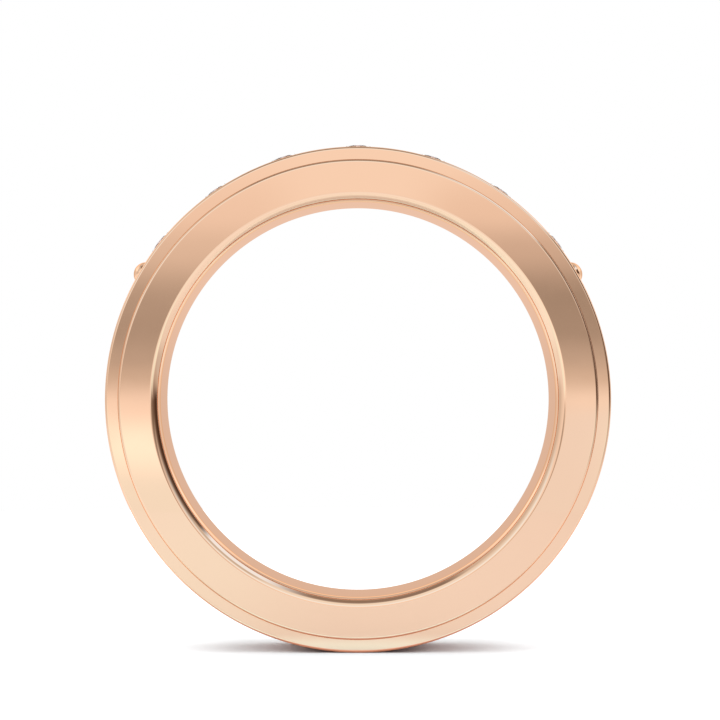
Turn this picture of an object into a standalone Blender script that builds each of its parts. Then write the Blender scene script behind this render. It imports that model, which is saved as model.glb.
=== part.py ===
"""A stepped wedding band with seven round diamonds, built from the pieces a jeweller assembles.

A comfort-fit inner sleeve carries an outer setting band. Seven round brilliants sit in drilled seats
across the top, each held by the metal burnished over its girdle and turned so that a flat side of its
table faces the flank. A polished bead closes the row at each end.

The finger axis runs along Y, the stones are at the top (+Z) and the ring stands on z = 0.
All sizes are in metres.
"""

import math

import bmesh
import bpy
from mathutils import Matrix, Vector

MM = 0.001

# Driving sizes of the two rings
BORE_RADIUS = 17.35 * MM / 2
SLEEVE_RADIUS = 10.53 * MM
BAND_RADIUS = 11.10 * MM
SLEEVE_WIDTH = 4.00 * MM
BAND_SETBACK = 0.14 * MM
FIT_GAP = 0.015 * MM

# Roundings
COMFORT_FILLET = 0.45 * MM
SLEEVE_EDGE = 0.13 * MM
BAND_EDGE = 0.12 * MM

# Row of stones
STONE_COUNT = 7
STONE_PITCH = math.radians(17.2)
STONE_TURN = math.radians(22.5)
STONE_RADIUS = 1.00 * MM
TABLE_SHARE = 0.57
CROWN_ANGLE = math.radians(35.5)
PAVILION_ANGLE = math.radians(40.8)
GIRDLE_THICKNESS = 0.05 * MM
STAR_LENGTH = 0.50
LOWER_HALF_LENGTH = 0.77
GIRDLE_SINK = 0.11 * MM

# Seats
SEAT_ANGLE = math.radians(41.6)
PILOT_RADIUS = 0.45 * MM
PILOT_DEPTH = 1.08 * MM
LIP_RADIUS = 0.95 * MM
LIP_HEIGHT = 0.04 * MM
BRIGHT_CUT_ANGLE = math.radians(40)
BRIGHT_CUT_RADIUS = 1.20 * MM
CUTTER_REACH = 0.6 * MM

# End beads, each the given angle from the last stone
BEAD_PITCH = math.radians(8.0)
BEAD_HEIGHT = 0.455 * MM
BEAD_DOME_RADIUS = 0.55 * MM
BEAD_SIDE_RADIUS = 0.25 * MM
BEAD_TURN_ANGLE = math.radians(42)
BEAD_FOOT_DEPTH = 0.28 * MM

# Facets
RING_STEPS = 96
SEAT_STEPS = 32
BEAD_STEPS = 28
GIRDLE_STEPS = 2
ARC_STEPS = 5

# Sizes that follow from the ones above
HALF_STEP = math.pi / RING_STEPS
CENTRE = Vector((0.0, 0.0, BAND_RADIUS * math.cos(HALF_STEP)))
BAND_BORE_RADIUS = SLEEVE_RADIUS + FIT_GAP
BAND_WIDTH = SLEEVE_WIDTH - 2 * BAND_SETBACK
GIRDLE_LEVEL = BAND_RADIUS - GIRDLE_SINK
CROWN_HEIGHT = STONE_RADIUS * (1 - TABLE_SHARE) * math.tan(CROWN_ANGLE)
BEAD_ANGLE = STONE_PITCH * (STONE_COUNT - 1) / 2 + BEAD_PITCH

ROSE_GOLD = (0.86, 0.54, 0.38)
DIAMOND = (0.90, 0.93, 0.96)


def clear_scene():
    for item in list(bpy.data.objects):
        bpy.data.objects.remove(item)


def material(name, colour, metallic, roughness):
    made = bpy.data.materials.new(name)
    made.use_nodes = True
    shader = made.node_tree.nodes["Principled BSDF"]
    shader.inputs["Base Color"].default_value = (*colour, 1.0)
    shader.inputs["Metallic"].default_value = metallic
    shader.inputs["Roughness"].default_value = roughness
    return made


def add_object(name, bm, finish=None, smooth_under=math.radians(30)):
    bmesh.ops.recalc_face_normals(bm, faces=bm.faces)
    mesh = bpy.data.meshes.new(name)
    bm.to_mesh(mesh)
    bm.free()
    made = bpy.data.objects.new(name, mesh)
    bpy.context.scene.collection.objects.link(made)
    if finish:
        mesh.materials.append(finish)
    mesh.shade_smooth()
    mesh.set_sharp_from_angle(angle=smooth_under)
    return made


def arc(centre, radius, start, end, steps=ARC_STEPS):
    """Points of a rounded corner, as (distance from the axis, position along it)."""
    points = []
    for step in range(steps + 1):
        angle = start + (end - start) * step / steps
        points.append((centre[0] + radius * math.cos(angle), centre[1] + radius * math.sin(angle)))
    return points


def spin_profile(bm, profile, axis, steps, closed):
    """Turn a profile of (distance, height) points round an axis; an open one starts and ends on the axis."""
    side = Vector((1.0, 0.0, 0.0))
    points = [bm.verts.new(side * distance + axis * height) for distance, height in profile]
    pairs = list(zip(points, points[1:]))
    if closed:
        pairs.append((points[-1], points[0]))
    edges = [bm.edges.new(pair) for pair in pairs]
    bmesh.ops.spin(
        bm,
        geom=points + edges,
        cent=(0.0, 0.0, 0.0),
        axis=axis,
        angle=2 * math.pi,
        steps=steps,
        use_merge=True,
    )
    bmesh.ops.remove_doubles(bm, verts=bm.verts, dist=0.0001 * MM)


def ring_frame():
    return Matrix.Translation(CENTRE)


def radial_frame(angle, distance):
    """A frame whose Z points straight out of the ring, turned from the top towards +X."""
    return ring_frame() @ Matrix.Rotation(angle, 4, "Y") @ Matrix.Translation((0.0, 0.0, distance))


def stone_angles():
    middle = (STONE_COUNT - 1) / 2
    return [(index - middle) * STONE_PITCH for index in range(STONE_COUNT)]


def sleeve_profile():
    half = SLEEVE_WIDTH / 2
    inner = BORE_RADIUS + COMFORT_FILLET
    outer = SLEEVE_RADIUS - SLEEVE_EDGE
    quarter = math.pi / 2
    points = arc((inner, half - COMFORT_FILLET), COMFORT_FILLET, 2 * quarter, quarter)
    points += arc((outer, half - SLEEVE_EDGE), SLEEVE_EDGE, quarter, 0.0)
    points += arc((outer, SLEEVE_EDGE - half), SLEEVE_EDGE, 0.0, -quarter)
    points += arc((inner, COMFORT_FILLET - half), COMFORT_FILLET, -quarter, -2 * quarter)
    return points


def band_profile():
    half = BAND_WIDTH / 2
    outer = BAND_RADIUS - BAND_EDGE
    quarter = math.pi / 2
    points = [(BAND_BORE_RADIUS, half)]
    points += arc((outer, half - BAND_EDGE), BAND_EDGE, quarter, 0.0)
    points += arc((outer, BAND_EDGE - half), BAND_EDGE, 0.0, -quarter)
    points.append((BAND_BORE_RADIUS, -half))
    return points


def seat_profile():
    """The space a stone needs: pilot hole, bearing cone, girdle groove, lip and the bright cut above it."""
    groove = STONE_RADIUS + FIT_GAP
    bearing = -GIRDLE_THICKNESS - FIT_GAP
    pilot_top = bearing - (groove - PILOT_RADIUS) * math.tan(SEAT_ANGLE)
    cut_top = LIP_HEIGHT + (BRIGHT_CUT_RADIUS - LIP_RADIUS) * math.tan(BRIGHT_CUT_ANGLE)
    return [
        (0.0, -PILOT_DEPTH),
        (PILOT_RADIUS, -PILOT_DEPTH),
        (PILOT_RADIUS, pilot_top),
        (groove, bearing),
        (groove, FIT_GAP),
        (LIP_RADIUS, LIP_HEIGHT),
        (BRIGHT_CUT_RADIUS, cut_top),
        (BRIGHT_CUT_RADIUS, CUTTER_REACH),
        (0.0, CUTTER_REACH),
    ]


def bead_profile(grow=0.0):
    """A domed bead on a straight foot, with height 0 at the band's surface.

    The flat dome turns down into a rounded side; grow widens it all into the hole that holds the bead.
    """
    dome_level = BEAD_HEIGHT - BEAD_DOME_RADIUS
    reach = BEAD_DOME_RADIUS - BEAD_SIDE_RADIUS
    side = (reach * math.cos(BEAD_TURN_ANGLE), dome_level + reach * math.sin(BEAD_TURN_ANGLE))
    side_radius = BEAD_SIDE_RADIUS + grow
    rounded_side = arc(side, side_radius, -math.asin(side[1] / side_radius), BEAD_TURN_ANGLE)
    dome = arc((0.0, dome_level), BEAD_DOME_RADIUS + grow, BEAD_TURN_ANGLE, math.pi / 2)
    foot = -BEAD_FOOT_DEPTH - grow
    return [(0.0, foot), (rounded_side[0][0], foot)] + rounded_side + dome[1:-1] + [(0.0, BEAD_HEIGHT + grow)]


def turned_copies(name, profile, steps, frames):
    """One object holding the same turned shape at several places, as a tool for a Boolean."""
    bm = bmesh.new()
    for frame in frames:
        single = bmesh.new()
        spin_profile(single, profile, Vector((0.0, 0.0, 1.0)), steps, closed=False)
        bmesh.ops.recalc_face_normals(single, faces=single.faces)
        single.transform(frame)
        scratch = bpy.data.meshes.new("scratch")
        single.to_mesh(scratch)
        single.free()
        bm.from_mesh(scratch)
        bpy.data.meshes.remove(scratch)
    tool = add_object(name, bm)
    tool.hide_render = True
    tool.display_type = "WIRE"
    return tool


def cut_away(target, tool):
    modifier = target.modifiers.new(f"cut_{tool.name}", "BOOLEAN")
    modifier.operation = "DIFFERENCE"
    modifier.object = tool


def ring_object(name, profile, finish):
    """A turned ring, with one of its facets level at the bottom for the ring to stand on."""
    bm = bmesh.new()
    spin_profile(bm, profile, Vector((0.0, 1.0, 0.0)), RING_STEPS, closed=True)
    bm.transform(ring_frame() @ Matrix.Rotation(HALF_STEP, 4, "Y"))
    return add_object(name, bm, finish)


def make_seat_burs():
    """The seats are cut after the rings are joined, so one set of burs goes through both."""
    frames = [radial_frame(angle, GIRDLE_LEVEL) for angle in stone_angles()]
    return turned_copies("seat_burs", seat_profile(), SEAT_STEPS, frames)


def make_sleeve(finish, seat_burs):
    sleeve = ring_object("inner_sleeve", sleeve_profile(), finish)
    cut_away(sleeve, seat_burs)


def make_band(finish, seat_burs):
    band = ring_object("setting_band", band_profile(), finish)
    frames = [radial_frame(angle, BAND_RADIUS) for angle in (-BEAD_ANGLE, BEAD_ANGLE)]
    cut_away(band, seat_burs)
    cut_away(band, turned_copies("bead_dimples", bead_profile(grow=FIT_GAP), BEAD_STEPS, frames))


def polar(radius, angle, height):
    return Vector((radius * math.cos(angle), radius * math.sin(angle), height))


def height_on_plane(corners, radius, angle):
    """Height where a vertical line at a polar place meets the plane through three corners."""
    normal = (corners[1] - corners[0]).cross(corners[2] - corners[0])
    place = polar(radius, angle, 0.0)
    return corners[0].z - (normal.xy.dot(place.xy - corners[0].xy)) / normal.z


def girdle_edge(point_of, inner_corner, level):
    """The scalloped edge where one half facet meets the round girdle."""
    start, end = point_of
    corners = [inner_corner, polar(STONE_RADIUS, start, level), polar(STONE_RADIUS, end, level)]
    edge = []
    for step in range(GIRDLE_STEPS + 1):
        angle = start + (end - start) * step / GIRDLE_STEPS
        edge.append(polar(STONE_RADIUS, angle, height_on_plane(corners, STONE_RADIUS, angle)))
    return edge


def brilliant_facets():
    """Every facet of a round brilliant as a list of corners; the girdle's top is at height 0."""
    eighth = math.pi / 4
    table_radius = STONE_RADIUS * TABLE_SHARE
    table_side = table_radius * math.cos(eighth / 2)
    star_radius = table_side + STAR_LENGTH * (STONE_RADIUS - table_side)
    star_reach = star_radius * math.cos(eighth / 2) - table_radius
    star_height = CROWN_HEIGHT - star_reach * math.tan(CROWN_ANGLE)
    lower_radius = STONE_RADIUS * (1 - LOWER_HALF_LENGTH)
    lower_reach = STONE_RADIUS - lower_radius * math.cos(eighth / 2)
    lower_height = -GIRDLE_THICKNESS - lower_reach * math.tan(PAVILION_ANGLE)
    culet = Vector((0.0, 0.0, -GIRDLE_THICKNESS - STONE_RADIUS * math.tan(PAVILION_ANGLE)))

    facets = [[polar(table_radius, k * eighth, CROWN_HEIGHT) for k in range(8)]]
    for k in range(8):
        main = k * eighth
        between = main + eighth / 2
        star = polar(star_radius, between, star_height)
        star_before = polar(star_radius, between - eighth, star_height)
        lower = polar(lower_radius, between, lower_height)
        lower_before = polar(lower_radius, between - eighth, lower_height)
        table = polar(table_radius, main, CROWN_HEIGHT)
        table_next = polar(table_radius, main + eighth, CROWN_HEIGHT)
        crown_point = polar(STONE_RADIUS, main, 0.0)
        pavilion_point = polar(STONE_RADIUS, main, -GIRDLE_THICKNESS)
        facets.append([table, star, table_next])
        facets.append([table, star_before, crown_point, star])
        facets.append([culet, lower_before, pavilion_point, lower])
        for half in ((main, between), (between, main + eighth)):
            top = girdle_edge(half, star, 0.0)
            bottom = girdle_edge(half, lower, -GIRDLE_THICKNESS)
            facets.append([star, *top])
            facets.append([lower, *bottom])
            for step in range(GIRDLE_STEPS):
                facets.append([top[step], top[step + 1], bottom[step + 1], bottom[step]])
    return facets


def make_diamonds(finish):
    for number, angle in enumerate(stone_angles(), start=1):
        bm = bmesh.new()
        for facet in brilliant_facets():
            bm.faces.new([bm.verts.new(corner) for corner in facet])
        bmesh.ops.remove_doubles(bm, verts=bm.verts, dist=0.0001 * MM)
        stone = add_object(f"diamond_{number}", bm, finish, smooth_under=math.radians(1))
        stone.matrix_world = radial_frame(angle, GIRDLE_LEVEL) @ Matrix.Rotation(STONE_TURN, 4, "Z")


def make_beads(finish):
    for name, angle in (("end_bead_left", -BEAD_ANGLE), ("end_bead_right", BEAD_ANGLE)):
        bm = bmesh.new()
        spin_profile(bm, bead_profile(), Vector((0.0, 0.0, 1.0)), BEAD_STEPS, closed=False)
        bead = add_object(name, bm, finish)
        bead.matrix_world = radial_frame(angle, BAND_RADIUS)


def build():
    clear_scene()
    gold = material("rose_gold", ROSE_GOLD, metallic=1.0, roughness=0.12)
    clear = material("diamond", DIAMOND, metallic=0.0, roughness=0.02)
    seat_burs = make_seat_burs()
    make_sleeve(gold, seat_burs)
    make_band(gold, seat_burs)
    make_diamonds(clear)
    make_beads(gold)


build()
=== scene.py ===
"""Studio picture of the stepped wedding band: polished rose gold, seven round diamonds, two gold beads.

The rings are turned again here as fine meshes with exact surface normals, because a polished flank is a
mirror and shows every facet. The seats, beads and stones follow the sizes of the CAD model.
Angles round the ring are measured from the top, positive towards +X.
"""

import math

import bmesh
import bpy
from mathutils import Matrix, Vector


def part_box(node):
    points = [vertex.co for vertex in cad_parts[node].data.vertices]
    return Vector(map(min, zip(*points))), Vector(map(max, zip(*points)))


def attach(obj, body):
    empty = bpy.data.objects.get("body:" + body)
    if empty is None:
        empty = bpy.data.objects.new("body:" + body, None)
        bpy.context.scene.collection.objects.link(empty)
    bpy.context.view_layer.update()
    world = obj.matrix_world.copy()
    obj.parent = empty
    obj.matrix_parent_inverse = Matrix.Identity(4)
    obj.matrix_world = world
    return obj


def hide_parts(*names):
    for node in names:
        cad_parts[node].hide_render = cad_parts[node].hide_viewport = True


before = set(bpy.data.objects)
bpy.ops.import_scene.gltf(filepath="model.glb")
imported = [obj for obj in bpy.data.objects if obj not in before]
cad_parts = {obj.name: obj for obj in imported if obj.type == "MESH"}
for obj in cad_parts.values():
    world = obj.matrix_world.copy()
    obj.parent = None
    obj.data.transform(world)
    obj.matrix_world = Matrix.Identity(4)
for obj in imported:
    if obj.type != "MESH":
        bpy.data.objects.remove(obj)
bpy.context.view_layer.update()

MM = 0.001

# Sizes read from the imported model
BAND_LOW, BAND_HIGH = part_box("setting_band")
SLEEVE_LOW, SLEEVE_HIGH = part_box("inner_sleeve")
BAND_RADIUS = (BAND_HIGH[0] - BAND_LOW[0]) / 2
BAND_HALF = (BAND_HIGH[1] - BAND_LOW[1]) / 2
SLEEVE_RADIUS = (SLEEVE_HIGH[0] - SLEEVE_LOW[0]) / 2
SLEEVE_HALF = (SLEEVE_HIGH[1] - SLEEVE_LOW[1]) / 2
CENTRE_Z = BAND_LOW[2] + BAND_RADIUS
TABLE_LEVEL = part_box("diamond_4")[1][2] - CENTRE_Z

# Sizes of the design that the boxes don't show
BORE_RADIUS = 17.35 * MM / 2
FIT_GAP = 0.015 * MM
COMFORT_FILLET = 0.45 * MM
SLEEVE_EDGE = 0.13 * MM
BAND_EDGE = 0.12 * MM
STONE_COUNT = 7
STONE_PITCH = math.radians(17.2)
STONE_TURN = math.radians(22.5)
STONE_RADIUS = 1.00 * MM
TABLE_SHARE = 0.57
CROWN_ANGLE = math.radians(35.5)
PAVILION_ANGLE = math.radians(40.8)
GIRDLE_THICKNESS = 0.05 * MM
STAR_LENGTH = 0.50
LOWER_HALF_LENGTH = 0.77
SEAT_ANGLE = math.radians(41.6)
PILOT_RADIUS = 0.45 * MM
PILOT_DEPTH = 1.08 * MM
LIP_RADIUS = 0.95 * MM
LIP_HEIGHT = 0.04 * MM
BRIGHT_CUT_ANGLE = math.radians(40)
BEAD_PITCH = math.radians(8.0)
BEAD_HEIGHT = 0.455 * MM
BEAD_DOME_RADIUS = 0.55 * MM
BEAD_SIDE_RADIUS = 0.25 * MM
BEAD_TURN_ANGLE = math.radians(42)
BEAD_FOOT_DEPTH = 0.10 * MM

# Sizes that follow
CROWN_HEIGHT = STONE_RADIUS * (1 - TABLE_SHARE) * math.tan(CROWN_ANGLE)
GIRDLE_LEVEL = TABLE_LEVEL - CROWN_HEIGHT
BAND_BORE_RADIUS = SLEEVE_RADIUS
GROOVE_RADIUS = STONE_RADIUS + FIT_GAP
BEARING_LEVEL = -GIRDLE_THICKNESS - FIT_GAP
ROW_HALF_ANGLE = STONE_PITCH * STONE_COUNT / 2
BEAD_ANGLE = STONE_PITCH * (STONE_COUNT - 1) / 2 + BEAD_PITCH

# Fineness of the meshes
SECTOR_STEPS = 24
PLAIN_STEPS = 340
ARC_STEPS = 18
GIRDLE_STEPS = 6
BEAD_STEPS = 96
SEAT_RINGS = 6
SOLVER_ROUNDS = 12
WELD_DISTANCE = 0.00001 * MM
SLOPE_STEP = 0.0005 * MM

# Camera: in front of the ring, a little above the level of its centre
CAMERA_DISTANCE = 86.0 * MM
CAMERA_RISE = 0.56 * MM
CAMERA_LENS = 98.36
SENSOR_WIDTH = 36.0
AIM_RIGHT = 0.085 * MM
AIM_RISE = 1.712 * MM
FLOOR_RADIUS = 100.0 * MM

WHITE = (1.0, 1.0, 1.0)
DIAMOND_IOR = 2.417


# ---------------------------------------------------------------- surfaces


class Surface:
    """Faces with an exact normal at each corner, welded into one mesh at the end."""

    def __init__(self):
        self.places = []
        self.index_of = {}
        self.faces = []
        self.normals = []

    def vertex(self, point):
        key = tuple(round(value / WELD_DISTANCE) for value in point)
        if key not in self.index_of:
            self.index_of[key] = len(self.places)
            self.places.append(tuple(point))
        return self.index_of[key]

    def face(self, corners):
        """corners is a list of (point, normal); the face turns to agree with its normals."""
        indices = []
        kept = []
        for point, normal in corners:
            index = self.vertex(point)
            if index not in indices:
                indices.append(index)
                kept.append((point, normal))
        if len(indices) < 3:
            return
        points = [point for point, _ in kept]
        normals = [normal for _, normal in kept]
        facing = (points[1] - points[0]).cross(points[-1] - points[0])
        if len(points) > 3:
            facing = (points[2] - points[0]).cross(points[3] - points[1])
        if facing.dot(sum(normals, Vector())) < 0:
            indices.reverse()
            normals.reverse()
        self.faces.append(indices)
        self.normals.extend(normals)

    def grid(self, rows):
        """rows is a list of rows of (point, normal); neighbours are joined by quads."""
        for upper, lower in zip(rows, rows[1:]):
            for i in range(len(upper) - 1):
                self.face([upper[i], upper[i + 1], lower[i + 1], lower[i]])

    def to_object(self, name):
        mesh = bpy.data.meshes.new(name)
        mesh.from_pydata(self.places, [], self.faces)
        mesh.shade_smooth()
        mesh.normals_split_custom_set([normal.normalized() for normal in self.normals])
        mesh.validate()
        made = bpy.data.objects.new(name, mesh)
        bpy.context.scene.collection.objects.link(made)
        return made


def on_ring(angle, radius, y):
    return Vector((radius * math.sin(angle), y, CENTRE_Z + radius * math.cos(angle)))


def ring_normal(angle, outward, along):
    return Vector((outward * math.sin(angle), along, outward * math.cos(angle)))


def stone_angles():
    middle = (STONE_COUNT - 1) / 2
    return [(index - middle) * STONE_PITCH for index in range(STONE_COUNT)]


def sector_angles(centre):
    return [centre - STONE_PITCH / 2 + STONE_PITCH * i / SECTOR_STEPS for i in range(SECTOR_STEPS + 1)]


def plain_angles():
    span = 2 * math.pi - 2 * ROW_HALF_ANGLE
    return [ROW_HALF_ANGLE + span * i / PLAIN_STEPS for i in range(PLAIN_STEPS + 1)]


def all_angles():
    angles = []
    for centre in stone_angles():
        angles += sector_angles(centre)[:-1]
    return angles + plain_angles()


def arc(radius, y, size, start, end):
    """A rounded corner as (radius, y, outward normal, normal along Y)."""
    points = []
    for i in range(ARC_STEPS + 1):
        angle = start + (end - start) * i / ARC_STEPS
        out = math.cos(angle)
        along = math.sin(angle)
        points.append((radius + size * out, y + size * along, out, along))
    return points


def sweep(surface, profile):
    """A turned surface through profile points of (radius, y, outward normal, normal along Y)."""
    rows = []
    for radius, y, out, along in profile:
        rows.append([(on_ring(a, radius, y), ring_normal(a, out, along)) for a in all_angles()])
    surface.grid(rows)


def side_places(half):
    return [-half + 2 * half * i / SECTOR_STEPS for i in range(SECTOR_STEPS + 1)]


def plain_cylinder(surface, radius, half, outward):
    rows = []
    for y in side_places(half):
        rows.append([(on_ring(a, radius, y), ring_normal(a, outward, 0.0)) for a in plain_angles()])
    surface.grid(rows)


class SeatFrame:
    """Places round one stone: x runs round the ring, y along the finger, height is above the girdle."""

    def __init__(self, angle):
        self.angle = angle
        self.out = Vector((math.sin(angle), 0.0, math.cos(angle)))
        self.round = Vector((math.cos(angle), 0.0, -math.sin(angle)))
        self.along = Vector((0.0, 1.0, 0.0))
        self.origin = Vector((0.0, 0.0, CENTRE_Z)) + self.out * GIRDLE_LEVEL

    def point(self, x, y, height):
        return self.origin + self.round * x + self.along * y + self.out * height

    def direction(self, x, y, height):
        return self.round * x + self.along * y + self.out * height

    def matrix(self):
        columns = Matrix((self.round, self.along, self.out)).transposed().to_4x4()
        return Matrix.Translation(self.origin) @ columns


def rim_of_sector(radius, half):
    """(x, y) of the points round a sector's edge, in order, the first one repeated at the end."""
    turns = sector_angles(0.0)
    sides = side_places(half)
    rim = [(turn, -half) for turn in turns[:-1]]
    rim += [(turns[-1], y) for y in sides[:-1]]
    rim += [(turn, half) for turn in reversed(turns[1:])]
    rim += [(turns[0], y) for y in reversed(sides[1:])]
    rim.append(rim[0])
    return [(radius * math.sin(turn), y) for turn, y in rim]


def cylinder_height(radius, x):
    return math.sqrt(radius * radius - x * x) - GIRDLE_LEVEL


def cut_radius(cx):
    """Where the bright cut comes out through the band's outer surface, in the direction cx."""
    radius = LIP_RADIUS
    for _ in range(SOLVER_ROUNDS):
        rise = cylinder_height(BAND_RADIUS, radius * cx) - LIP_HEIGHT
        radius = LIP_RADIUS + rise / math.tan(BRIGHT_CUT_ANGLE)
    return radius


def cone_radius(cylinder, cx):
    """Where the bearing cone meets a cylinder round the finger axis, in the direction cx."""
    radius = PILOT_RADIUS
    for _ in range(SOLVER_ROUNDS):
        drop = BEARING_LEVEL - cylinder_height(cylinder, radius * cx)
        radius = GROOVE_RADIUS - drop / math.tan(SEAT_ANGLE)
    return radius


def cone_in_band(cx):
    return cone_radius(BAND_BORE_RADIUS, cx)


def cone_in_sleeve(cx):
    return cone_radius(SLEEVE_RADIUS, cx)


def curve_places(rim, radius_at):
    """Points on a curve round the stone, one in the direction of each rim point."""
    return [(cx * radius_at(cx), cy * radius_at(cx)) for cx, cy in circle_places(rim, 1.0)]


def slope_normal(height_at, x, y):
    """The upward normal of a height field, from its slope in x and y."""
    slope_x = (height_at(x + SLOPE_STEP, y) - height_at(x - SLOPE_STEP, y)) / (2 * SLOPE_STEP)
    slope_y = (height_at(x, y + SLOPE_STEP) - height_at(x, y - SLOPE_STEP)) / (2 * SLOPE_STEP)
    return Vector((-slope_x, -slope_y, 1.0)).normalized()


def height_row(seat, places, height_at, facing=1.0):
    row = []
    for x, y in places:
        normal = slope_normal(height_at, x, y) * facing
        row.append((seat.point(x, y, height_at(x, y)), seat.direction(*normal)))
    return row


def circle_places(rim, radius):
    places = []
    for x, y in rim:
        size = math.hypot(x, y)
        places.append((x * radius / size, y * radius / size))
    return places


def between(outer, inner, share):
    """Places on the way from one outline to the other."""
    places = []
    for (x0, y0), (x1, y1) in zip(outer, inner):
        places.append((x0 + (x1 - x0) * share, y0 + (y1 - y0) * share))
    return places


def turned_wall(surface, seat, rim, points):
    """Surfaces turned round the stone's axis; points are (radius, height), each stretch has a flat side."""
    for (r0, h0), (r1, h1) in zip(points, points[1:]):
        length = math.hypot(r1 - r0, h1 - h0)
        out = (h0 - h1) / length
        up = (r1 - r0) / length
        rows = []
        for radius, height in ((r0, h0), (r1, h1)):
            row = []
            for (x, y), (cx, cy) in zip(circle_places(rim, radius), circle_places(rim, 1.0)):
                normal = seat.direction(-cx * out, -cy * out, -up)
                row.append((seat.point(x, y, height), normal))
            rows.append(row)
        surface.grid(rows)


def cylinder_sector(surface, seat, cylinder, half, radius_at, facing):
    """One sector of a cylinder round the finger axis, with a hole for the stone."""
    rim = rim_of_sector(cylinder, half)
    hole = curve_places(rim_of_sector(BAND_RADIUS, BAND_HALF - BAND_EDGE), radius_at)

    def height_at(x, y):
        return cylinder_height(cylinder, x)

    rows = []
    for ring in range(SEAT_RINGS + 1):
        places = between(rim, hole, ring / SEAT_RINGS)
        rows.append(height_row(seat, places, height_at, facing))
    surface.grid(rows)


def band_seat(surface, seat):
    """Bright cut, lip, girdle groove and bearing cone, down to the band's own bore."""
    rim = rim_of_sector(BAND_RADIUS, BAND_HALF - BAND_EDGE)
    tilt = math.radians(90) - BRIGHT_CUT_ANGLE
    cut = []
    lip = []
    for cx, cy in circle_places(rim, 1.0):
        radius = cut_radius(cx)
        normal = seat.direction(-cx * math.cos(tilt), -cy * math.cos(tilt), math.sin(tilt))
        height = cylinder_height(BAND_RADIUS, radius * cx)
        cut.append((seat.point(cx * radius, cy * radius, height), normal))
        lip.append((seat.point(cx * LIP_RADIUS, cy * LIP_RADIUS, LIP_HEIGHT), normal))
    surface.grid([cut, lip])
    groove = [(LIP_RADIUS, LIP_HEIGHT), (GROOVE_RADIUS, FIT_GAP), (GROOVE_RADIUS, BEARING_LEVEL)]
    turned_wall(surface, seat, rim, groove)
    cone_piece(surface, seat, lambda cx: GROOVE_RADIUS, cone_in_band)


def cone_piece(surface, seat, upper_at, lower_at):
    """A stretch of the bearing cone between two curves round the stone."""
    rim = rim_of_sector(BAND_RADIUS, BAND_HALF - BAND_EDGE)
    rows = []
    for radius_at in (upper_at, lower_at):
        row = []
        for cx, cy in circle_places(rim, 1.0):
            radius = radius_at(cx)
            height = BEARING_LEVEL - (GROOVE_RADIUS - radius) * math.tan(SEAT_ANGLE)
            normal = seat.direction(
                -cx * math.sin(SEAT_ANGLE), -cy * math.sin(SEAT_ANGLE), math.cos(SEAT_ANGLE)
            )
            row.append((seat.point(cx * radius, cy * radius, height), normal))
        rows.append(row)
    surface.grid(rows)


def sleeve_pilot(surface, seat):
    """The seat's lower end in the sleeve: the last of the cone, then a blind hole."""
    rim = rim_of_sector(BAND_RADIUS, BAND_HALF - BAND_EDGE)
    cone_piece(surface, seat, cone_in_sleeve, lambda cx: PILOT_RADIUS)
    pilot_top = BEARING_LEVEL - (GROOVE_RADIUS - PILOT_RADIUS) * math.tan(SEAT_ANGLE)
    turned_wall(surface, seat, rim, [(PILOT_RADIUS, pilot_top), (PILOT_RADIUS, -PILOT_DEPTH)])
    up = seat.direction(0.0, 0.0, 1.0)
    edge = [(seat.point(x, y, -PILOT_DEPTH), up) for x, y in circle_places(rim, PILOT_RADIUS)]
    surface.grid([edge, [(seat.point(0.0, 0.0, -PILOT_DEPTH), up)] * len(edge)])


def make_sleeve():
    """The inner ring: flat flanks, rounded bore ends, and a blind pilot hole under each stone."""
    surface = Surface()
    inner = BORE_RADIUS + COMFORT_FILLET
    outer = SLEEVE_RADIUS - SLEEVE_EDGE
    right = math.pi / 2
    profile = arc(outer, SLEEVE_HALF - SLEEVE_EDGE, SLEEVE_EDGE, 0.0, right)
    profile += arc(inner, SLEEVE_HALF - COMFORT_FILLET, COMFORT_FILLET, right, 2 * right)
    profile += arc(inner, COMFORT_FILLET - SLEEVE_HALF, COMFORT_FILLET, 2 * right, 3 * right)
    profile += arc(outer, SLEEVE_EDGE - SLEEVE_HALF, SLEEVE_EDGE, 3 * right, 4 * right)
    sweep(surface, profile)
    plain_cylinder(surface, SLEEVE_RADIUS, SLEEVE_HALF - SLEEVE_EDGE, 1.0)
    for angle in stone_angles():
        seat = SeatFrame(angle)
        cylinder_sector(surface, seat, SLEEVE_RADIUS, SLEEVE_HALF - SLEEVE_EDGE, cone_in_sleeve, 1.0)
        sleeve_pilot(surface, seat)
    return surface.to_object("sleeve_polished")


def make_band():
    """The outer ring: set-back flanks, rounded edges, seven seats for the stones."""
    surface = Surface()
    outer = BAND_RADIUS - BAND_EDGE
    right = math.pi / 2
    front = [(BAND_BORE_RADIUS, BAND_HALF, 0.0, 1.0)]
    front += arc(outer, BAND_HALF - BAND_EDGE, BAND_EDGE, right, 0.0)
    sweep(surface, front)
    sweep(surface, [(radius, -y, out, -along) for radius, y, out, along in front])
    plain_cylinder(surface, BAND_RADIUS, BAND_HALF - BAND_EDGE, 1.0)
    plain_cylinder(surface, BAND_BORE_RADIUS, BAND_HALF, -1.0)
    for angle in stone_angles():
        seat = SeatFrame(angle)
        cylinder_sector(surface, seat, BAND_RADIUS, BAND_HALF - BAND_EDGE, cut_radius, 1.0)
        band_seat(surface, seat)
        cylinder_sector(surface, seat, BAND_BORE_RADIUS, BAND_HALF, cone_in_band, -1.0)
    return surface.to_object("band_polished")


# ---------------------------------------------------------------- stones and beads


def polar(radius, angle, height):
    return Vector((radius * math.cos(angle), radius * math.sin(angle), height))


def height_on_plane(corners, radius, angle):
    normal = (corners[1] - corners[0]).cross(corners[2] - corners[0])
    place = polar(radius, angle, 0.0)
    return corners[0].z - (normal.xy.dot(place.xy - corners[0].xy)) / normal.z


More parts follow.
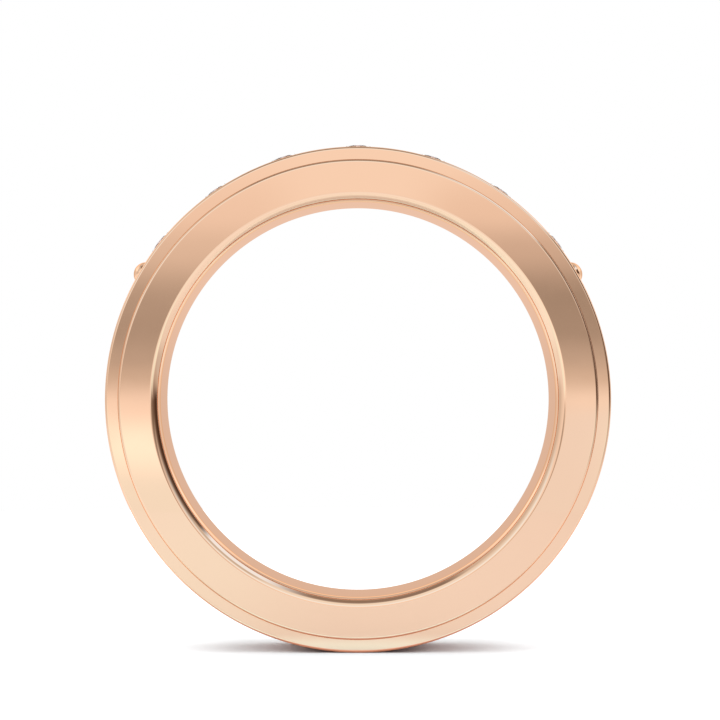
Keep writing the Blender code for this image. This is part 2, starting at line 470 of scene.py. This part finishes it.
def girdle_edge(span, inner_corner, level):
    """The scalloped edge where one half facet meets the round girdle."""
    start, end = span
    corners = [inner_corner, polar(STONE_RADIUS, start, level), polar(STONE_RADIUS, end, level)]
    edge = []
    for step in range(GIRDLE_STEPS + 1):
        angle = start + (end - start) * step / GIRDLE_STEPS
        edge.append(polar(STONE_RADIUS, angle, height_on_plane(corners, STONE_RADIUS, angle)))
    return edge


def brilliant_facets():
    """(polished facets, girdle faces) of a round brilliant, as lists of corners; girdle top at 0."""
    eighth = math.pi / 4
    table_radius = STONE_RADIUS * TABLE_SHARE
    table_side = table_radius * math.cos(eighth / 2)
    star_radius = table_side + STAR_LENGTH * (STONE_RADIUS - table_side)
    star_reach = star_radius * math.cos(eighth / 2) - table_radius
    star_height = CROWN_HEIGHT - star_reach * math.tan(CROWN_ANGLE)
    lower_radius = STONE_RADIUS * (1 - LOWER_HALF_LENGTH)
    lower_reach = STONE_RADIUS - lower_radius * math.cos(eighth / 2)
    lower_height = -GIRDLE_THICKNESS - lower_reach * math.tan(PAVILION_ANGLE)
    culet = Vector((0.0, 0.0, -GIRDLE_THICKNESS - STONE_RADIUS * math.tan(PAVILION_ANGLE)))

    facets = [[polar(table_radius, k * eighth, CROWN_HEIGHT) for k in range(8)]]
    girdle = []
    for k in range(8):
        main = k * eighth
        between_mains = main + eighth / 2
        star = polar(star_radius, between_mains, star_height)
        star_before = polar(star_radius, between_mains - eighth, star_height)
        lower = polar(lower_radius, between_mains, lower_height)
        lower_before = polar(lower_radius, between_mains - eighth, lower_height)
        table = polar(table_radius, main, CROWN_HEIGHT)
        table_next = polar(table_radius, main + eighth, CROWN_HEIGHT)
        crown_point = polar(STONE_RADIUS, main, 0.0)
        pavilion_point = polar(STONE_RADIUS, main, -GIRDLE_THICKNESS)
        facets.append([table, star, table_next])
        facets.append([table, star_before, crown_point, star])
        facets.append([culet, lower_before, pavilion_point, lower])
        for span in ((main, between_mains), (between_mains, main + eighth)):
            top = girdle_edge(span, star, 0.0)
            bottom = girdle_edge(span, lower, -GIRDLE_THICKNESS)
            facets.append([star, *top])
            facets.append([lower, *bottom])
            for step in range(GIRDLE_STEPS):
                girdle.append([top[step], top[step + 1], bottom[step + 1], bottom[step]])
    return facets, girdle


def make_diamond(number, angle):
    facets, girdle = brilliant_facets()
    bm = bmesh.new()
    for slot_index, group in enumerate((facets, girdle)):
        for corners in group:
            made = bm.faces.new([bm.verts.new(corner) for corner in corners])
            made.material_index = slot_index
    bmesh.ops.remove_doubles(bm, verts=bm.verts, dist=0.0001 * MM)
    bmesh.ops.recalc_face_normals(bm, faces=bm.faces)
    for made in bm.faces:
        made.smooth = False
    mesh = bpy.data.meshes.new(f"brilliant_{number}")
    bm.to_mesh(mesh)
    bm.free()
    stone = bpy.data.objects.new(f"brilliant_{number}", mesh)
    bpy.context.scene.collection.objects.link(stone)
    mesh.transform(SeatFrame(angle).matrix() @ Matrix.Rotation(STONE_TURN, 4, "Z"))
    return stone


def bead_profile():
    """Dome, rounded side and foot as (radius, height, outward, upward); height 0 is the band's surface."""
    dome_level = BEAD_HEIGHT - BEAD_DOME_RADIUS
    reach = BEAD_DOME_RADIUS - BEAD_SIDE_RADIUS
    side_radius = reach * math.cos(BEAD_TURN_ANGLE)
    side_level = dome_level + reach * math.sin(BEAD_TURN_ANGLE)
    lowest = -math.asin(side_level / BEAD_SIDE_RADIUS)
    profile = arc(0.0, dome_level, BEAD_DOME_RADIUS, math.pi / 2, BEAD_TURN_ANGLE)
    profile += arc(side_radius, side_level, BEAD_SIDE_RADIUS, BEAD_TURN_ANGLE, lowest)[1:]
    foot = profile[-1][0]
    profile += [(foot, 0.0, 1.0, 0.0), (foot, -BEAD_FOOT_DEPTH, 1.0, 0.0)]
    profile += [(foot, -BEAD_FOOT_DEPTH, 0.0, -1.0), (0.0, -BEAD_FOOT_DEPTH, 0.0, -1.0)]
    return profile


def make_bead(name, angle):
    """A polished domed bead on a short foot that ends inside the band's metal."""
    seat = SeatFrame(angle)
    surface = Surface()
    rows = []
    for radius, height, outward, upward in bead_profile():
        row = []
        for step in range(BEAD_STEPS + 1):
            turn = 2 * math.pi * (step % BEAD_STEPS) / BEAD_STEPS
            cx = math.cos(turn)
            cy = math.sin(turn)
            place = seat.point(cx * radius, cy * radius, height + BAND_RADIUS - GIRDLE_LEVEL)
            row.append((place, seat.direction(cx * outward, cy * outward, upward)))
        rows.append(row)
    surface.grid(rows)
    return surface.to_object(name)


# ---------------------------------------------------------------- materials


class Nodes:
    """Short calls for building a node tree."""

    def __init__(self, tree):
        self.tree = tree

    def add(self, kind, **settings):
        node = self.tree.nodes.new(kind)
        for key, value in settings.items():
            setattr(node, key, value)
        return node

    def link(self, source, target):
        self.tree.links.new(source, target)

    def math(self, operation, first, second=None):
        node = self.add("ShaderNodeMath", operation=operation)
        for socket, value in zip(node.inputs, (first, second)):
            if isinstance(value, (int, float)):
                socket.default_value = value
            elif value is not None:
                self.link(value, socket)
        return node.outputs[0]

    def map_range(self, value, from_low, from_high, to_low, to_high, smooth=False):
        node = self.add("ShaderNodeMapRange")
        node.interpolation_type = "SMOOTHSTEP" if smooth else "LINEAR"
        self.link(value, node.inputs["Value"])
        for key, number in zip(
            ("From Min", "From Max", "To Min", "To Max"), (from_low, from_high, to_low, to_high)
        ):
            node.inputs[key].default_value = number
        return node.outputs["Result"]

    def ramp(self, value, stops, interpolation="LINEAR"):
        node = self.add("ShaderNodeValToRGB")
        node.color_ramp.interpolation = interpolation
        elements = node.color_ramp.elements
        while len(elements) > 1:
            elements.remove(elements[-1])
        for i, (position, colour) in enumerate(stops):
            element = elements[0] if i == 0 else elements.new(position)
            element.position = position
            element.color = (*colour, 1.0)
        self.link(value, node.inputs["Fac"])
        return node.outputs["Color"]

    def both(self, first, second):
        return self.math("MULTIPLY", first, second)

    def mix(self, share, first, second):
        node = self.add("ShaderNodeMix", data_type="RGBA")
        self.link(share, node.inputs[0])
        self.link(first, node.inputs[6])
        self.link(second, node.inputs[7])
        return node.outputs[2]

    def multiply(self, first, second):
        node = self.add("ShaderNodeMix", data_type="RGBA", blend_type="MULTIPLY")
        node.inputs[0].default_value = 1.0
        self.link(first, node.inputs[6])
        self.link(second, node.inputs[7])
        return node.outputs[2]

    def tint(self, picture, share, colour):
        """The picture with one colour painted over it where share is 1."""
        return self.mix(share, picture, self.colour(colour))

    def band(self, value, low_start, low_end, high_start, high_end):
        """1 between two edges, falling smoothly to 0 outside them."""
        rise = self.map_range(value, low_start, low_end, 0.0, 1.0, smooth=True)
        fall = self.map_range(value, high_start, high_end, 1.0, 0.0, smooth=True)
        return self.both(rise, fall)

    def band_mm(self, value, *edges):
        return self.band(value, *[edge * MM for edge in edges])

    def band_degrees(self, angle, *edges):
        return self.band(angle, *[math.radians(edge) for edge in edges])

    def colour(self, value):
        node = self.add("ShaderNodeRGB")
        node.outputs[0].default_value = (*value, 1.0)
        return node.outputs[0]

    def background(self, colour):
        node = self.add("ShaderNodeBackground")
        self.link(colour, node.inputs["Color"])
        return node.outputs[0]

    def choose(self, share, first, second):
        node = self.add("ShaderNodeMixShader")
        self.link(share, node.inputs[0])
        self.link(first, node.inputs[1])
        self.link(second, node.inputs[2])
        return node.outputs[0]

    def noise(self, vector, scale, detail=2.0, roughness=0.5):
        node = self.add("ShaderNodeTexNoise")
        node.inputs["Scale"].default_value = scale
        node.inputs["Detail"].default_value = detail
        node.inputs["Roughness"].default_value = roughness
        self.link(vector, node.inputs["Vector"])
        return node.outputs["Fac"]


def new_material(name):
    made = bpy.data.materials.new(name)
    made.use_nodes = True
    return made, Nodes(made.node_tree), made.node_tree.nodes["Principled BSDF"]


GOLD = (0.925, 0.60, 0.412)
GOLD_DEEP = (0.91, 0.588, 0.40)
GOLD_EDGE = (0.85, 0.57, 0.38)
# What the metal throws back onto the floor, kept neutral so that the contact shadow stays grey
GOLD_BOUNCE = (0.62, 0.62, 0.62)


def gold_material(name, roughness_low, roughness_high, line_strength):
    """Polished 14 karat rose gold: faint colour drift, uneven polish and fine polishing lines."""
    made, nodes, shader = new_material(name)
    shader.inputs["Metallic"].default_value = 1.0
    shader.inputs["Specular Tint"].default_value = (*GOLD_EDGE, 1.0)
    place = nodes.add("ShaderNodeTexCoord").outputs["Object"]
    drift = nodes.noise(place, 180.0, 3.0)
    gold = nodes.ramp(drift, [(0.3, GOLD_DEEP), (0.7, GOLD)])
    bounce = nodes.add("ShaderNodeLightPath").outputs["Is Diffuse Ray"]
    nodes.link(nodes.tint(gold, bounce, GOLD_BOUNCE), shader.inputs["Base Color"])
    polish = nodes.noise(place, 900.0, 4.0, 0.6)
    roughness = nodes.map_range(polish, 0.3, 0.7, roughness_low, roughness_high)
    nodes.link(roughness, shader.inputs["Roughness"])
    stretch = nodes.add("ShaderNodeMapping")
    stretch.inputs["Scale"].default_value = (1.0, 24.0, 1.0)
    nodes.link(place, stretch.inputs["Vector"])
    lines = nodes.noise(stretch.outputs["Vector"], 1500.0, 2.0)
    bump = nodes.add("ShaderNodeBump")
    bump.inputs["Strength"].default_value = line_strength
    bump.inputs["Distance"].default_value = 0.001 * MM
    nodes.link(lines, bump.inputs["Height"])
    nodes.link(bump.outputs["Normal"], shader.inputs["Normal"])
    return made


def diamond_material():
    """The cut stone: clear, with the faintest haze on its polish."""
    made, nodes, shader = new_material("diamond_polished")
    shader.inputs["Base Color"].default_value = (1.0, 1.0, 1.0, 1.0)
    shader.inputs["Transmission Weight"].default_value = 1.0
    shader.inputs["IOR"].default_value = DIAMOND_IOR
    place = nodes.add("ShaderNodeTexCoord").outputs["Object"]
    haze = nodes.noise(place, 3000.0, 2.0)
    nodes.link(nodes.map_range(haze, 0.4, 0.8, 0.0, 0.02), shader.inputs["Roughness"])
    return made


def girdle_material():
    """The bruted girdle: the same stone with a ground, frosted surface."""
    made, nodes, shader = new_material("diamond_girdle")
    shader.inputs["Base Color"].default_value = (0.96, 0.97, 1.0, 1.0)
    shader.inputs["Transmission Weight"].default_value = 1.0
    shader.inputs["IOR"].default_value = DIAMOND_IOR
    place = nodes.add("ShaderNodeTexCoord").outputs["Object"]
    grain = nodes.noise(place, 20000.0, 3.0)
    nodes.link(nodes.map_range(grain, 0.3, 0.7, 0.25, 0.5), shader.inputs["Roughness"])
    return made


# Painted sheen on the floor as the metal mirrors it: its tone by how steeply it is looked at, 1 being along
# the floor
PAINTED_SHEEN_BY_FACING = (
    (0.0, (0.74, 0.70, 0.67)),
    (0.1, (0.73, 0.68, 0.65)),
    (0.24, (0.80, 0.79, 0.77)),
    (0.35, (0.96, 1.02, 0.99)),
    (0.45, (0.94, 0.95, 0.93)),
    (0.78, (0.97, 0.98, 0.97)),
    (0.9, (0.91, 0.91, 0.91)),
)
# and painted light from the far left to the far right of the middle stretch, in front of the ring: brighter
# on the left, darker on the right
SIDE_REACH = 60.0 * MM
PAINTED_LIGHT_BY_SIDE = (
    (0.1, (0.92, 0.92, 0.90)),
    (0.3, (1.00, 1.04, 1.05)),
    (0.42, (1.00, 1.07, 1.08)),
    (0.5, (0.98, 0.98, 0.99)),
    (0.62, (0.965, 0.95, 0.96)),
    (0.75, (0.87, 0.84, 0.83)),
    (0.92, (0.66, 0.63, 0.61)),
)
# Patches that deepen the contact shadow: (edges in Y, edges in X, shade), edges in mm
SHADOW_TONES = (
    ((-2.2, -1.0, 2.0, 3.5), (-8.0, -4.5, 4.5, 8.0), 0.84),
    ((-2.2, -1.5, 1.5, 2.2), (-3.5, -1.5, 1.5, 3.5), 0.60),
)


def mirrored_floor(nodes, x, y):
    """What the metal sees of the floor, all painted light: a painted sheen by viewing angle, painted side
    light, painted warm bounce light under the ring and a painted brightening just before it.
    """
    facing = nodes.add("ShaderNodeLayerWeight")
    facing.inputs["Blend"].default_value = 0.5
    # painted sheen: the reflected floor's tone set by the angle it is seen at
    painted_sheen = nodes.ramp(facing.outputs["Facing"], PAINTED_SHEEN_BY_FACING, "EASE")
    # painted light falling from the left: the reflected floor darker towards the right, fading to white
    # behind the ring
    painted_side_light = nodes.ramp(nodes.map_range(x, -SIDE_REACH, SIDE_REACH, 0.0, 1.0), PAINTED_LIGHT_BY_SIDE, "EASE")
    behind_ring = nodes.map_range(y, 0.0, 12.0 * MM, 0.0, 1.0, smooth=True)
    painted_side_light = nodes.tint(painted_side_light, behind_ring, WHITE)
    # painted light: the reflected floor just before the ring brightened where the ring's contact shadow
    # would darken it
    before_ring = nodes.both(
        nodes.band_mm(y, -9.0, -3.4, -2.8, -2.2), nodes.band_mm(x, -9.0, -5.0, 5.0, 9.0)
    )
    painted_brightening = nodes.tint(nodes.colour((1.0, 1.04, 1.06)), before_ring, (1.18, 1.50, 1.60))
    # painted bounce light: the reflected floor under the ring tinted warm, as if lit by light thrown back
    # from the gold
    under_ring = nodes.band_mm(y, -3.2, -2.2, 2.2, 3.2)
    painted_gold_bounce = nodes.tint(nodes.colour(WHITE), under_ring, (1.20, 0.78, 0.70))
    return nodes.multiply(nodes.multiply(nodes.multiply(painted_sheen, painted_side_light), painted_brightening), painted_gold_bounce)


def seen_floor(nodes, place, x, y):
    """What the camera sees: a pale sweep that burns out to white, with a deeper contact shadow."""
    drift = nodes.noise(place, 40.0, 2.0)
    bright = nodes.ramp(drift, [(0.3, (1.22, 1.20, 1.17)), (0.7, (1.25, 1.23, 1.20))])
    for edges_y, edges_x, shade in SHADOW_TONES:
        patch = nodes.both(nodes.band_mm(y, *edges_y), nodes.band_mm(x, *edges_x))
        bright = nodes.multiply(bright, nodes.tint(nodes.colour(WHITE), patch, (shade, shade, shade)))
    return bright


def floor_material():
    """A matt floor with one tone for the camera, with a painted contact shadow, and one for the metal's
    reflections, with painted sheen and painted light.
    """
    made, nodes, shader = new_material("pale_floor")
    made.node_tree.nodes.remove(shader)
    place = nodes.add("ShaderNodeTexCoord").outputs["Object"]
    split = nodes.add("ShaderNodeSeparateXYZ")
    nodes.link(place, split.inputs[0])
    x = split.outputs["X"]
    y = split.outputs["Y"]
    reflected = nodes.add("ShaderNodeBsdfDiffuse")
    nodes.link(mirrored_floor(nodes, x, y), reflected.inputs["Color"])
    seen = nodes.add("ShaderNodeBsdfDiffuse")
    nodes.link(seen_floor(nodes, place, x, y), seen.inputs["Color"])
    is_camera = nodes.add("ShaderNodeLightPath").outputs["Is Camera Ray"]
    surface = nodes.choose(is_camera, reflected.outputs[0], seen.outputs[0])
    nodes.link(surface, made.node_tree.nodes["Material Output"].inputs["Surface"])
    return made


# ---------------------------------------------------------------- studio

# Brightness of the studio as (elevation in degrees, red, green, blue).
# The wall meets the floor in a dark line just above eye level, brighter floor lies on the left.
HORIZON_LEFT = (
    (-6.0, 1.00, 1.10, 1.16), (-3.0, 1.00, 1.15, 1.20), (-1.7, 1.30, 1.42, 1.46),
    (-0.5, 1.06, 1.04, 1.04), (0.3, 0.67, 0.64, 0.61), (0.8, 0.55, 0.53, 0.51),
    (1.6, 0.46, 0.44, 0.42), (2.4, 0.49, 0.47, 0.45), (4.0, 0.80, 0.77, 0.75),
    (5.0, 0.95, 0.92, 0.91), (6.5, 1.02, 1.01, 1.01),
)
HORIZON_RIGHT = (
    (-6.0, 0.97, 1.05, 1.12), (-1.0, 0.97, 1.04, 1.11), (-0.4, 1.02, 1.03, 1.04),
    (0.3, 0.72, 0.69, 0.66), (0.8, 0.58, 0.56, 0.54), (1.6, 0.43, 0.41, 0.39),
    (2.6, 0.41, 0.39, 0.37), (4.0, 0.69, 0.65, 0.63), (5.0, 0.92, 0.88, 0.86),
    (6.5, 1.02, 1.01, 1.01),
)
HORIZON_LIMIT = 7.0
# The same over the whole height: FRONT is the camera's side, BEHIND the far side
FRONT = (
    (-90.0, 0.85, 0.85, 0.85), (-60.0, 0.88, 0.88, 0.88), (-30.0, 1.0, 1.08, 1.10),
    (-6.0, 1.0, 1.06, 1.12), (0.0, 1.0, 1.0, 1.0), (8.0, 1.03, 1.04, 1.05),
    (14.0, 1.05, 1.38, 1.66), (20.0, 1.0, 1.20, 1.35), (30.0, 0.98, 1.10, 1.16),
    (40.0, 0.98, 1.08, 1.12), (50.0, 0.40, 0.39, 0.38), (60.0, 0.30, 0.27, 0.24),
    (90.0, 0.30, 0.27, 0.24),
)
BEHIND = (
    (-90.0, 0.85, 0.85, 0.85), (-30.0, 1.0, 1.05, 1.08), (-4.0, 1.0, 1.0, 1.0),
    (0.0, 0.88, 0.88, 0.88), (14.0, 0.88, 0.88, 0.88), (24.0, 1.30, 1.30, 1.30),
    (40.0, 1.10, 1.10, 1.10), (55.0, 0.60, 0.60, 0.60), (70.0, 0.78, 0.78, 0.78),
    (90.0, 0.80, 0.80, 0.80),
)


def elevation_ramp(nodes, height, table, limit):
    """A colour ramp over the sine of the elevation, from -limit to limit degrees."""
    reach = math.sin(math.radians(limit))
    stops = []
    for degrees, *colour in table:
        position = 0.5 + 0.5 * math.sin(math.radians(degrees)) / reach
        stops.append((min(1.0, max(0.0, position)), tuple(colour)))
    return nodes.ramp(nodes.map_range(height, -reach, reach, 0.0, 1.0), stops, "EASE")


def front_of_room(nodes, x, y, z):
    """The camera's side of the studio; x, y and z are the direction that is looked in."""
    left = elevation_ramp(nodes, z, HORIZON_LEFT, HORIZON_LIMIT)
    right = elevation_ramp(nodes, z, HORIZON_RIGHT, HORIZON_LIMIT)
    horizon = nodes.mix(nodes.map_range(x, -0.05, 0.05, 0.0, 1.0, smooth=True), left, right)
    sideways = nodes.math("ABSOLUTE", x)
    near_level = nodes.both(
        nodes.band(z, -0.11, -0.09, 0.10, 0.12), nodes.band(sideways, 0.02, 0.055, 0.28, 0.40)
    )
    room = nodes.mix(near_level, elevation_ramp(nodes, z, FRONT, 90.0), horizon)

    bright_floor = nodes.both(
        nodes.band(sideways, 0.11, 0.16, 0.40, 0.50), nodes.band(z, -0.22, -0.15, -0.03, 0.0)
    )
    room = nodes.tint(room, bright_floor, (1.04, 1.27, 1.28))
    dim_floor = nodes.both(
        nodes.map_range(z, -0.02, 0.0, 1.0, 0.0, smooth=True),
        nodes.map_range(x, 0.42, 0.62, 0.0, 1.0, smooth=True),
    )
    room = nodes.tint(room, dim_floor, (0.63, 0.61, 0.59))
    room = nodes.mix(doorway(nodes, x, z), room, doorway_depth(nodes, x))
    return wall_lights(nodes, room, nodes.math("ARCTAN2", x, z), y)


def doorway(nodes, x, z):
    """Where the dark opening on the right lies: wide above eye level, low beside the camera."""
    wide = nodes.both(
        nodes.map_range(x, 0.12, 0.80, 0.0, 1.0, smooth=True),
        nodes.map_range(z, -0.10, 0.0, 0.0, 1.0, smooth=True),
    )
    low = nodes.both(
        nodes.map_range(x, 0.14, 0.30, 0.0, 1.0, smooth=True), nodes.band(z, -0.04, 0.0, 0.04, 0.16)
    )
    return nodes.math("MAXIMUM", wide, low)


def doorway_depth(nodes, x):
    depth = nodes.map_range(x, 0.35, 0.90, 0.0, 1.0)
    return nodes.tint(nodes.colour((0.28, 0.24, 0.21)), depth, (0.08, 0.045, 0.03))


def wall_lights(nodes, room, clock, y):
    """A framed softbox high on the right, a dim corner and a grey wall on the left.

    clock is the angle from straight up, positive to the right; y is -1 towards the camera.
    """
    frame_edge = nodes.both(
        nodes.band_degrees(clock, 26, 33, 50, 58), nodes.band(y, -0.92, -0.84, -0.66, -0.60)
    )
    room = nodes.tint(room, frame_edge, (0.66, 0.68, 0.66))
    softbox = nodes.both(
        nodes.band_degrees(clock, 12, 30, 46, 52),
        nodes.map_range(y, -0.74, -0.60, 0.0, 1.0, smooth=True),
    )
    room = nodes.tint(room, softbox, (1.0, 1.32, 1.70))
    dim_corner = nodes.both(
        nodes.band_degrees(clock, -34, -26, -12, -4), nodes.map_range(y, -0.72, -0.60, 0.0, 1.0)
    )
    room = nodes.tint(room, dim_corner, (0.30, 0.27, 0.25))
    left_wall = nodes.both(
        nodes.band_degrees(clock, -100, -92, -36, -24), nodes.map_range(y, -0.95, -0.35, 0.0, 1.0)
    )
    return nodes.tint(room, left_wall, (0.70, 0.70, 0.68))


def make_world():
    """A white studio room, seen only in the polished metal and the stones; a dome lights the floor."""
    world = bpy.data.worlds.new("studio")
    bpy.context.scene.world = world
    world.use_nodes = True
    world.cycles.sampling_method = "NONE"
    tree = world.node_tree
    tree.nodes.clear()
    nodes = Nodes(tree)
    split = nodes.add("ShaderNodeSeparateXYZ")
    nodes.link(nodes.add("ShaderNodeTexCoord").outputs["Generated"], split.inputs[0])
    x, y, z = split.outputs

    behind = elevation_ramp(nodes, z, BEHIND, 90.0)
    towards_camera = nodes.map_range(y, -0.16, 0.06, 1.0, 0.0, smooth=True)
    room = nodes.background(nodes.mix(towards_camera, behind, front_of_room(nodes, x, y, z)))
    dome = nodes.background(nodes.colour((1.12, 1.16, 1.20)))
    backdrop = nodes.background(nodes.colour(WHITE))
    path = nodes.add("ShaderNodeLightPath").outputs
    lit = nodes.choose(path["Is Diffuse Ray"], room, dome)
    final = nodes.choose(path["Is Camera Ray"], lit, backdrop)
    nodes.link(final, nodes.add("ShaderNodeOutputWorld").inputs["Surface"])


def aim(item, target):
    item.rotation_euler = (target - item.location).to_track_quat("-Z", "Y").to_euler()


def make_floor():
    bm = bmesh.new()
    bmesh.ops.create_circle(bm, cap_ends=True, segments=96, radius=FLOOR_RADIUS)
    mesh = bpy.data.meshes.new("floor")
    bm.to_mesh(mesh)
    bm.free()
    floor = bpy.data.objects.new("floor", mesh)
    bpy.context.scene.collection.objects.link(floor)
    mesh.materials.append(floor_material())


def make_camera():
    camera = bpy.data.cameras.new("camera")
    camera.lens = CAMERA_LENS
    camera.sensor_width = SENSOR_WIDTH
    camera.clip_start = 0.001
    camera.clip_end = 10.0
    made = bpy.data.objects.new("camera", camera)
    bpy.context.scene.collection.objects.link(made)
    made.location = (0.0, -SLEEVE_HALF - CAMERA_DISTANCE, CENTRE_Z + CAMERA_RISE)
    aim(made, Vector((AIM_RIGHT, -SLEEVE_HALF, CENTRE_Z + AIM_RISE)))
    bpy.context.scene.camera = made


# ---------------------------------------------------------------- the ring


def place_piece(piece, node, slot_name, *materials):
    """Gives a piece its materials and puts it in the place of its CAD node."""
    for material in materials:
        piece.data.materials.append(material)
    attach(piece, "root")
    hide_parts(node)


def make_ring():
    sleeve_gold = gold_material("rose_gold_sleeve", 0.02, 0.05, 0.02)
    band_gold = gold_material("rose_gold_band", 0.02, 0.06, 0.03)
    bead_gold = gold_material("rose_gold_bead", 0.03, 0.08, 0.02)
    place_piece(make_sleeve(), "inner_sleeve", "sleeve_gold", sleeve_gold)
    place_piece(make_band(), "setting_band", "band_gold", band_gold)
    place_piece(make_bead("bead_polished_left", -BEAD_ANGLE), "end_bead_left", "bead_gold", bead_gold)
    place_piece(make_bead("bead_polished_right", BEAD_ANGLE), "end_bead_right", "bead_gold", bead_gold)
    clear = diamond_material()
    ground = girdle_material()
    for number, angle in enumerate(stone_angles(), start=1):
        place_piece(make_diamond(number, angle), f"diamond_{number}", "diamond", clear, ground)


make_camera()
make_world()
make_floor()
make_ring()
bpy.context.scene.view_settings.view_transform = "Standard"
